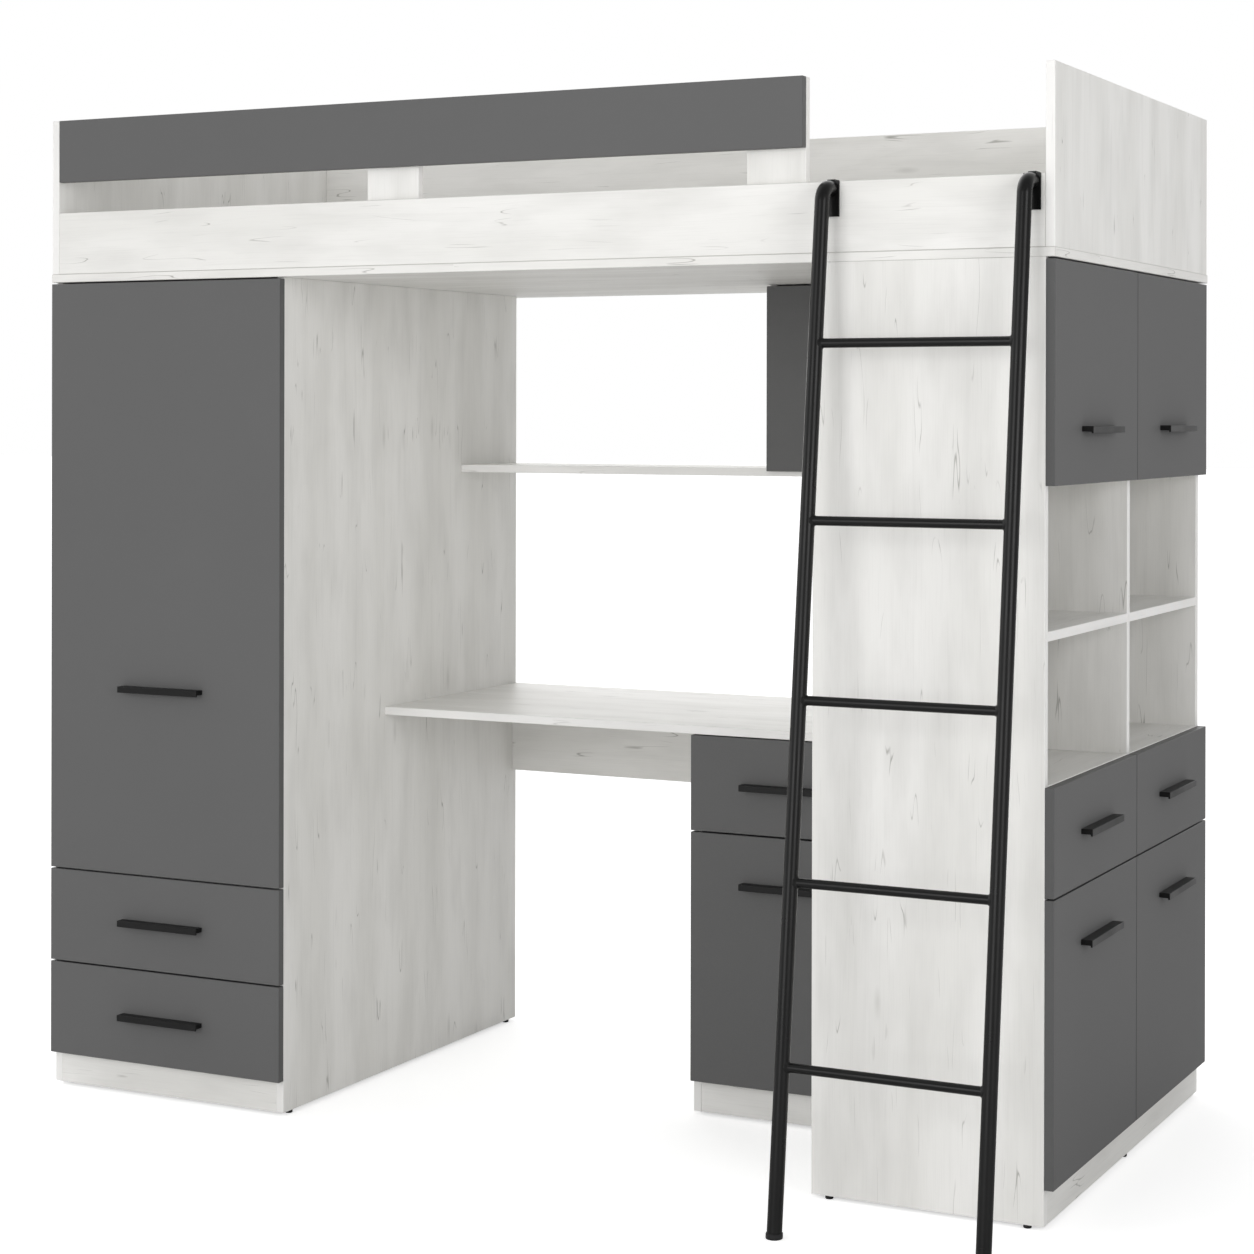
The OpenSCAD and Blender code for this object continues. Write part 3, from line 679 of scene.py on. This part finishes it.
hooks_low, hooks_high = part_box("ladder_hooks")
feet_low, feet_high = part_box("ladder_feet")
rail_low, rail_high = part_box("bed_front_rail")
foot_half = (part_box("ladder_stiles")[1].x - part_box("ladder_stiles")[0].x) / 2 - STILE_RADIUS
ladder_middle = (hooks_low.x + hooks_high.x) / 2
STILES_X = [ladder_middle - foot_half, ladder_middle + foot_half]
bend_start_y = rail_low.y - STANDOFF
bend_centre = Vector((0, bend_start_y + BEND_RADIUS * math.cos(LEAN),
                      rail_high.z - STILE_RADIUS - BEND_RADIUS))
bend_start = Vector((0, bend_start_y, bend_centre.z + BEND_RADIUS * math.sin(LEAN)))
up_stile = Vector((0, math.sin(LEAN), math.cos(LEAN)))
foot_point = bend_start - up_stile * (bend_start.z - SOLE) / math.cos(LEAN)


stiles = bmesh.new()
for x in STILES_X:
    tilt = Matrix.Translation(foot_point + Vector((x, 0, 0))) @ Matrix.Rotation(-LEAN, 4, "X")
    ring = new_ring(stiles, STILE_RADIUS, tilt)
    bmesh.ops.contextual_create(stiles, geom=ring)
    ring = push(stiles, ring, bend_start - foot_point)
    spun = bmesh.ops.spin(stiles, geom=ring, cent=bend_centre + Vector((x, 0, 0)), axis=(1, 0, 0),
                          angle=-(math.pi / 2 - LEAN), steps=14, use_merge=False)["geom_last"]
    ring = [g for g in spun if isinstance(g, bmesh.types.BMEdge)]
    reach = rail_low.y - HOOK_THICKNESS - bend_centre.y
    push(stiles, ring, Vector((0, reach, 0)))
close_up(stiles)
finish_piece(stiles, "ladder_stile_tubes", "ladder", [ladder_paint], ["ladder_stiles"])
print("stiles:", len(STILES_X), "tubes at x =", [round(x, 3) for x in STILES_X])

# %% [markdown]
# ## Rungs and their welds
# Five thinner tubes are welded between the stiles. Where a tube meets another the welder leaves a
# small hollow fillet. It is three rings round the rung: the first lies on the rung, the last follows
# the stile's round face, and bridging them makes the fillet.

# %% Rungs and welds
RUNG_RADIUS = 8 * MM
WELD = 3 * MM

rungs_low, rungs_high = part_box("ladder_rungs")
rung_count = len(list(shells(cad_copy("ladder_rungs"))))
first_rung = rungs_low.z + RUNG_RADIUS
pitch = (rungs_high.z - RUNG_RADIUS - first_rung) / (rung_count - 1)
across = Matrix.Rotation(math.pi / 2, 4, "Y")


def weld_ring(bm, middle, side, radius, away):
    """A ring round a rung at the stile's face; away is how far off that face it stands."""
    ring = new_ring(bm, radius, Matrix.Translation(middle) @ across)
    for point in {v for e in ring for v in e.verts}:
        beside = (point.co - middle).dot(up_stile.cross(Vector((1, 0, 0))))
        point.co.x = middle.x + side * (math.sqrt(STILE_RADIUS ** 2 - beside ** 2) + away)
    return ring


rungs, welds = bmesh.new(), bmesh.new()
for i in range(rung_count):
    height = first_rung + i * pitch
    along = foot_point + up_stile * (height - foot_point.z) / math.cos(LEAN)
    ring = new_ring(rungs, RUNG_RADIUS, Matrix.Translation(along + Vector((STILES_X[0], 0, 0))) @ across)
    bmesh.ops.contextual_create(rungs, geom=ring)
    ring = push(rungs, ring, Vector((STILES_X[1] - STILES_X[0], 0, 0)))
    bmesh.ops.contextual_create(rungs, geom=ring)
    for x, side in zip(STILES_X, (1, -1)):
        middle = along + Vector((x, 0, 0))
        steps = [(RUNG_RADIUS - 0.2 * MM, WELD), (RUNG_RADIUS + 0.2 * MM, WELD * 0.9),
                 (RUNG_RADIUS + WELD * 0.3, WELD * 0.35), (RUNG_RADIUS + WELD * 0.9, 0),
                 (RUNG_RADIUS + WELD * 0.9, -MM)]
        rings = [weld_ring(welds, middle, side, r, away) for r, away in steps]
        for inner, outer in zip(rings, rings[1:]):
            bmesh.ops.bridge_loops(welds, edges=inner + outer)
for bm in (rungs, welds):
    close_up(bm)
finish_piece(rungs, "ladder_rung_tubes", "ladder", [ladder_paint], ["ladder_rungs"])
finish_piece(welds, "ladder_rung_welds", "ladder", [ladder_paint])
print("rungs:", rung_count, "every", round(pitch, 4), "m")

# %% [markdown]
# ## Hooks
# Each hook is a flat steel strip, folded over the rail. The frame has its outline with square
# folds. A real fold is round outside, with a radius of about the strip's thickness, so the two top
# edges are bevelled by that first, and then all edges are eased as a deburring wheel leaves them.

# %% Hooks
HOOK_EASE = 0.5 * MM
FOLD_RADIUS = 0.9 * HOOK_THICKNESS
LEVEL = 0.1 * MM  # points closer than this count as level

hooks = cad_copy("ladder_hooks")
folds = [e for e in hooks.edges if all(v.co.z > hooks_high.z - LEVEL for v in e.verts)
         and abs(e.verts[0].co.y - e.verts[1].co.y) < LEVEL]
round_off(hooks, folds, FOLD_RADIUS, 6)
round_off(hooks, sharp_edges(hooks), HOOK_EASE, 2)
finish_piece(hooks, "ladder_hook_straps", "ladder", [ladder_paint], ["ladder_hooks"])
print("hooks:", round(hooks_high.x - hooks_low.x, 3), "m apart over all")

# %% [markdown]
# ## Ladder feet and glides
# Injection moulded black polypropylene: dull, slightly waxy, with a fine spark-eroded texture. A
# foot is a short sleeve along the leaning stile with a level sole, so it starts as a cylinder, is
# tipped with the stile, and two level cuts trim it. Small bevels finish its rims.

# %% Plastic and feet
plastic = black_paint("moulded_black_polypropylene", "#1E1E1F", 0.5, 0.9, 0.05)
FOOT_RADIUS = 14 * MM
FOOT_EASE = 1.2 * MM

feet = bmesh.new()
for x in STILES_X:
    tilt = Matrix.Translation(foot_point + Vector((x, 0, 0))) @ Matrix.Rotation(-LEAN, 4, "X")
    bmesh.ops.create_cone(feet, cap_ends=True, cap_tris=False, segments=ROUND, radius1=FOOT_RADIUS,
                          radius2=FOOT_RADIUS, depth=4 * feet_high.z, matrix=tilt)
for height, up in ((feet_low.z, -1), (feet_high.z, 1)):
    cut = bmesh.ops.bisect_plane(feet, geom=feet.verts[:] + feet.edges[:] + feet.faces[:],
                                 plane_co=(0, 0, height), plane_no=(0, 0, up), clear_outer=True)
    rim = [g for g in cut["geom_cut"] if isinstance(g, bmesh.types.BMEdge)]
    bmesh.ops.holes_fill(feet, edges=rim, sides=0)
round_off(feet, sharp_edges(feet), FOOT_EASE, 3)
close_up(feet, 60)
finish_piece(feet, "ladder_foot_caps", "ladder", [plastic], ["ladder_feet"])

# %% [markdown]
# The glides are nail-on plastic buttons under the side boards. The frame's cylinders are copied and
# only their lower rims are rounded, so that they slide over a carpet.

# %% Glides
GLIDE_EASE = 1.5 * MM

glides = cad_copy("glides")
rims = [e for e in glides.edges if all(v.co.z < GLIDE_EASE for v in e.verts)]
round_off(glides, rims, GLIDE_EASE, 3)
shade_round(glides, 60)
finish_piece(glides, "glide_buttons", "carcass", [plastic], ["glides"])
print("ladder feet and glides made")

# %% [markdown]
# ## Fittings
# The rest is what shows once a door or drawer is open. The steel fittings are plated, so they are
# full metals: a thin nickel or zinc skin with faint cloudy differences in gloss. The clothes rail is
# bright chrome.

# %% Plated metal
def plated(name, tone, roughness):
    """Plated steel with clouds in its gloss and a fine drawn grain."""
    made, tree, shader = new_material(name, Base_Color=linear(tone), Metallic=1.0)
    place = add(tree, "TexCoord").outputs["Object"]
    clouds = add(tree, "TexNoise", {"Vector": place, "Scale": per_mm(35), "Detail": 3.0})
    grain = add(tree, "TexNoise", {"Vector": place, "Scale": per_mm(0.8), "Detail": 2.0})
    rough = add(tree, "MapRange", {"Value": clouds.outputs["Fac"], "From Min": 0.3, "From Max": 0.7,
                                   "To Min": roughness * 0.8, "To Max": roughness * 1.3})
    skin = add(tree, "Bump", {"Strength": 0.15, "Distance": 0.03 * MM, "Height": grain.outputs["Fac"]})
    tree.links.new(rough.outputs["Result"], shader.inputs["Roughness"])
    tree.links.new(skin.outputs["Normal"], shader.inputs["Normal"])
    return made


nickel = plated("nickel_plated_steel", "#B8B6B1", 0.28)
zinc = plated("zinc_plated_steel", "#A9ABAE", 0.38)
chrome = plated("chromed_steel", "#D6D7D8", 0.07)
nylon, nylon_tree, nylon_shader = new_material("white_nylon", Base_Color=linear("#E6E4DC"),
                                               Subsurface_Weight=0.1)
wear = add(nylon_tree, "TexNoise", {"Vector": add(nylon_tree, "TexCoord").outputs["Object"],
                                    "Scale": per_mm(3)})
dull = add(nylon_tree, "MapRange", {"Value": wear.outputs["Fac"], "To Min": 0.38, "To Max": 0.55})
nylon_tree.links.new(dull.outputs["Result"], nylon_shader.inputs["Roughness"])
drawer_white = plain_melamine("white_drawer_melamine", "#E8E7E3", "#ECEBE8", 0.5)
hardboard = plain_melamine("white_faced_hardboard", "#E2E1DC", "#E7E6E2", 0.55)
print("metals, nylon and white board ready")

# %% [markdown]
# ### Hinges
# The arm on the carcass is a folded steel channel over a winged mounting plate that two screws hold.
# The door's cup is a shallow stamped pot with two ears. A short link joins them, as the folding
# links of the real hinge do. It rides on neither the carcass nor the door.

# %% Hinge sizes
SIDEWAYS = Matrix(((0, 0, 1, 0), (1, 0, 0, 0), (0, 1, 0, 0), (0, 0, 0, 1)))
XZ_PLANE = Matrix(((1, 0, 0, 0), (0, 0, 1, 0), (0, 1, 0, 0), (0, 0, 0, 1)))
# In a hinge's frame X points off the board that carries the arm, Y into the carcass and Z up.
# The outlines are in millimetres: PLATE is drawn in YZ, ARM in XY and EAR in XZ.
PLATE = [(10, -7), (23, -7), (27, -21), (40, -21), (44, -7), (67, -7),
         (67, 7), (44, 7), (40, 21), (27, 21), (23, 7), (10, 7)]
ARM = [(3, 2), (11.5, 2), (13, 5), (13, 48), (11, 58), (7, 67), (3, 67)]
PLATE_THICKNESS = 2.4 * MM
ARM_HALF = 8 * MM
# Two screws on the plate and two on the arm: x, y, z and the radius of the head
ARM_SCREWS = [(2.4, 33.5, 15, 4.2), (2.4, 33.5, -15, 4.2), (13, 14, 0, 3.2), (13, 42, 0, 3.2)]
CUP_RIM = CUP_RADIUS - 0.1 * MM
CUP_STEPS = [(CUP_RIM, -CUP_DEPTH + 0.2 * MM), (CUP_RIM, -0.2 * MM), (CUP_RIM - 0.4 * MM, 0),
             (CUP_RIM - 1.0 * MM, 0), (CUP_RIM - 1.4 * MM, -0.5 * MM), (CUP_RIM - 1.6 * MM, -9 * MM),
             (CUP_RIM - 3 * MM, -CUP_DEPTH + 1.2 * MM)]
EAR = [(9, 15), (19, 12), (20, 27), (17, 31), (12, 31), (9, 27)]
EAR_THICKNESS = 0.9 * MM
EAR_SCREW_X, EAR_SCREW_Z = 14.5 * MM, 24 * MM
LINK_HALF = 5.5 * MM
LINK = [(5 * MM, -LINK_HALF), (11 * MM, -LINK_HALF), (11 * MM, LINK_HALF), (5 * MM, LINK_HALF)]
LINK_START, LINK_REACH = 8 * MM, 16 * MM
LINK_STEPS = 8


def in_mm(outline):
    """An outline that is written in millimetres."""
    return [(x * MM, y * MM) for x, y in outline]


print("hinge sizes set, cup radius:", round(CUP_RIM / MM, 1), "mm")

# %% Hinge arms
arms, arm_screws = bmesh.new(), bmesh.new()
for place, door in hinges:
    off = place.to_3x3() @ Vector((1, 0, 0))
    prism(arms, in_mm(PLATE), PLATE_THICKNESS, place @ SIDEWAYS)
    prism(arms, in_mm(ARM), 2 * ARM_HALF, place @ Matrix.Translation((0, 0, -ARM_HALF)))
    for x, y, z, radius in ARM_SCREWS:
        screw(arm_screws, place @ Vector((x * MM, y * MM, z * MM)), off, radius * MM, 1.6 * MM)
crisp_bevel(arms, 0.6 * MM)
close_up(arms)
close_up(arm_screws)
finish_piece(arms, "hinge_arm_channels", "carcass", [nickel], ["hinge_arms"])
finish_piece(arm_screws, "hinge_arm_screws", "carcass", [zinc])
print("hinge arms:", len(hinges))

# %% Hinge cups and links
for body in doors:
    cups, ear_screws, links = bmesh.new(), bmesh.new(), bmesh.new()
    for place in [p for p, d in hinges if d == body]:
        inward = place.to_3x3() @ Vector((0, 1, 0))
        lathe(cups, CUP_STEPS, facing(place @ Vector((CUP_OFFSET, 0, 0)), inward))
        for side in (1, -1):
            ear = in_mm((x, side * z) for x, z in EAR)
            prism(cups, ear, EAR_THICKNESS, place @ XZ_PLANE)
            spot = Vector((EAR_SCREW_X, EAR_THICKNESS, side * EAR_SCREW_Z))
            screw(ear_screws, place @ spot, inward, 3.6 * MM, 1.3 * MM)
        start = [links.verts.new(place @ Vector((x, LINK_START, z))) for x, z in LINK]
        ring = list(links.faces.new(start).edges)
        for step in range(LINK_STEPS):
            ring = push(links, ring, -inward * LINK_REACH / LINK_STEPS)
        bmesh.ops.contextual_create(links, geom=ring)
    crisp_bevel(links, 0.8 * MM)
    for bm in (cups, ear_screws, links):
        close_up(bm)
    finish_piece(cups, body + "_hinge_cups", body, [nickel])
    finish_piece(ear_screws, body + "_hinge_screws", body, [zinc])
    link = finish_piece(links, body + "_hinge_links", None, [nickel])
    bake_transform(link)
print("hinge cups and links:", len(hinges))

# %% [markdown]
# ### Drawers and their runners
# A drawer box is white board with a thin bottom. Its runner is a pair of folded profiles: a channel
# on the carcass and an angle under the drawer side, each with one nylon roller. The drawer has to
# slide through the channel without touching it, so the angle's flange passes above the fixed roller.

# %% Drawer boxes and runners
CHANNEL = [(0, 0), (10, 0), (10, 1.2), (1.2, 1.2), (1.2, 15.8), (10, 15.8), (10, 17), (0, 17)]
ANGLE = [(11.7, 2), (12.9, 2), (12.9, 15.2), (3, 15.2), (3, 14), (11.7, 14)]
ANGLE_GAP = 2 * MM  # the angle stops this far short of the channel at each end
RUNNER_STEEL = 1.2 * MM
RUNNER_SCREWS = (0.12, 0.5, 0.9)  # shares of the channel's length
RUNNER_SCREW_Z = 8.5 * MM
# The roller fixed near the channel's front, and the wheel near the drawer's back
ROLLER = [(2 * MM, 0), (6 * MM, 0), (6 * MM, 5.5 * MM), (2 * MM, 5.5 * MM)]
ROLLER_SPOT = Vector((1.4 * MM, 14 * MM, 7.3 * MM))
WHEEL = [(2 * MM, 0), (5.6 * MM, 0), (5.6 * MM, 5 * MM), (2 * MM, 5 * MM)]
WHEEL_X, WHEEL_FROM_BACK, WHEEL_Z = 5 * MM, 10 * MM, 8.2 * MM
WHEEL_SIDES = 24

for body in drawers:
    tray = cad_copy(body + "_box")
    ease_edges(tray, 0.5 * MM)
    finish_piece(tray, body + "_tray", body, [drawer_white], [body + "_box"])

channels, rollers, fixings = bmesh.new(), bmesh.new(), bmesh.new()
moving = {body: (bmesh.new(), bmesh.new()) for body in drawers}
boxes = {body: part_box(body + "_box") for body in drawers}
for solid in shells(cad_copy("drawer_runners")):
    low, high = corners(solid)
    centre = (low + high) / 2
    body = min(drawers, key=lambda d: (sum(boxes[d], Vector()) / 2 - centre).length)
    drawer_centre = (boxes[body][0] + boxes[body][1]) / 2
    if faces_front(body):
        left = centre.x < drawer_centre.x
        off, inward = Vector((1 if left else -1, 0, 0)), Vector((0, 1, 0))
        origin, run = Vector((low.x if left else high.x, low.y, low.z)), high.y - low.y
    else:
        left = centre.y < drawer_centre.y
        off, inward = Vector((0, 1 if left else -1, 0)), Vector((-1, 0, 0))
        origin, run = Vector((high.x, low.y if left else high.y, low.z)), high.x - low.x
    place = local_frame(off, inward, origin)
    prism(channels, in_mm(CHANNEL), run, place @ XZ_PLANE)
    lathe(rollers, ROLLER, facing(place @ ROLLER_SPOT, off), WHEEL_SIDES)
    for share in RUNNER_SCREWS:
        spot = Vector((RUNNER_STEEL, run * share, RUNNER_SCREW_Z))
        screw(fixings, place @ spot, off, 3.4 * MM, 1.5 * MM)
    angles, wheels = moving[body]
    prism(angles, in_mm(ANGLE), run - 2 * ANGLE_GAP,
          place @ Matrix.Translation((0, ANGLE_GAP, 0)) @ XZ_PLANE)
    spot = Vector((WHEEL_X, run - WHEEL_FROM_BACK, WHEEL_Z))
    lathe(wheels, WHEEL, facing(place @ spot, off), WHEEL_SIDES)
for bm in (channels, rollers, fixings):
    close_up(bm)
finish_piece(channels, "runner_channels", "carcass", [zinc], ["drawer_runners"])
finish_piece(rollers, "runner_rollers", "carcass", [nylon])
finish_piece(fixings, "runner_screws", "carcass", [zinc])
for body, (angles, wheels) in moving.items():
    close_up(angles)
    close_up(wheels)
    finish_piece(angles, body + "_runner_angles", body, [zinc])
    finish_piece(wheels, body + "_runner_wheels", body, [nylon])
print("drawer boxes:", len(drawers), "runner pairs:", len(drawers))

# %% [markdown]
# ### Handle screws
# Two machine screws hold each handle from behind, 128 mm apart. On a door their heads stand on its
# inner face, on a drawer inside the box, because the screws pass through both boards.

# %% Handle screws
HOLE_SPACING = 128 * MM
DRAWER_SIDE = 12 * MM
HEAD_RADIUS, HEAD_HEIGHT = 4.2 * MM, 2.4 * MM

for body in doors + drawers:
    heads = bmesh.new()
    low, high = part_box(body + "_handle")
    front_low, front_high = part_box(body if body in doors else body + "_front")
    extra = 0 if body in doors else DRAWER_SIDE
    middle = (low + high) / 2
    for side in (-0.5, 0.5):
        along = side * HOLE_SPACING
        if faces_front(body):
            place = Vector((middle.x + along, front_high.y + extra, middle.z))
            out = Vector((0, 1, 0))
        else:
            place = Vector((front_low.x - extra, middle.y + along, middle.z))
            out = Vector((-1, 0, 0))
        screw(heads, place, out, HEAD_RADIUS, HEAD_HEIGHT)
    close_up(heads)
    finish_piece(heads, body + "_handle_screws", body, [zinc])
print("handle screws:", 2 * len(doors + drawers))

# %% [markdown]
# ### Clothes rail and back boards
# The rail is a chromed tube between two flanges with three screws each. The thin back boards are
# white-faced hardboard, nailed to the boards that they cover, so the nails run in rows.

# %% Clothes rail
RAIL_RADIUS = 12.5 * MM
FLANGE_RADIUS = 20.5 * MM
FLANGE_SCREWS = 16.6 * MM  # from the rail's axis
FLANGE_STEPS = [(RAIL_RADIUS, 0), (FLANGE_RADIUS, 0), (FLANGE_RADIUS, 1.5 * MM),
                (FLANGE_RADIUS - 1.2 * MM, 2.6 * MM), (RAIL_RADIUS + 1.5 * MM, 2.6 * MM),
                (RAIL_RADIUS + 0.3 * MM, 4 * MM), (RAIL_RADIUS, 4 * MM)]
RAIL_GAP = 0.2 * MM
RAIL_SIDES = 48

low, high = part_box("clothes_rail")
rail_middle = (low + high) / 2
rail, flange_screws = bmesh.new(), bmesh.new()
lathe(rail, [(RAIL_RADIUS, RAIL_GAP), (RAIL_RADIUS, high.x - low.x - RAIL_GAP)],
      facing(Vector((low.x, rail_middle.y, rail_middle.z)), Vector((1, 0, 0))), RAIL_SIDES)
for x, out in ((low.x, Vector((1, 0, 0))), (high.x, Vector((-1, 0, 0)))):
    base = Vector((x, rail_middle.y, rail_middle.z))
    lathe(rail, FLANGE_STEPS, facing(base, out), RAIL_SIDES)
    for i in range(3):
        turn = math.radians(90 + 120 * i)
        spot = base + Vector((0, math.cos(turn), math.sin(turn))) * FLANGE_SCREWS + out * 2.5 * MM
        screw(flange_screws, spot, out, 2.8 * MM, 1.2 * MM)
close_up(rail)
close_up(flange_screws)
finish_piece(rail, "clothes_rail_tube", "carcass", [chrome], ["clothes_rail"])
finish_piece(flange_screws, "clothes_rail_screws", "carcass", [zinc])

# %% Back boards and nails
NAIL_PITCH = 95 * MM
NAIL_HEAD = [(2.2 * MM, -0.3 * MM), (2.2 * MM, 0.3 * MM), (1.6 * MM, 0.7 * MM)]
NAIL_SIDES = 12

backs, nails = cad_copy("back_boards"), bmesh.new()
back_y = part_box("back_boards")[1].y
rear = Vector((0, 1, 0))
for node in ("wardrobe_boards", "desk_cabinet_boards"):
    for solid in shells(cad_copy(node)):
        low, high = corners(solid)
        count = int((high.x - low.x) / NAIL_PITCH)
        for i in range(count):
            x = low.x + (i + 0.5) * (high.x - low.x) / count
            spot = Vector((x, back_y, (low.z + high.z) / 2))
            lathe(nails, NAIL_HEAD, facing(spot, rear), NAIL_SIDES)
ease_edges(backs, 0.3 * MM, 1)
close_up(nails)
finish_piece(backs, "back_boards_hardboard", "carcass", [hardboard], ["back_boards"])
finish_piece(nails, "back_board_nails", "carcass", [zinc])
print("clothes rail, back boards and nails made")

# %% End
print("scene built")
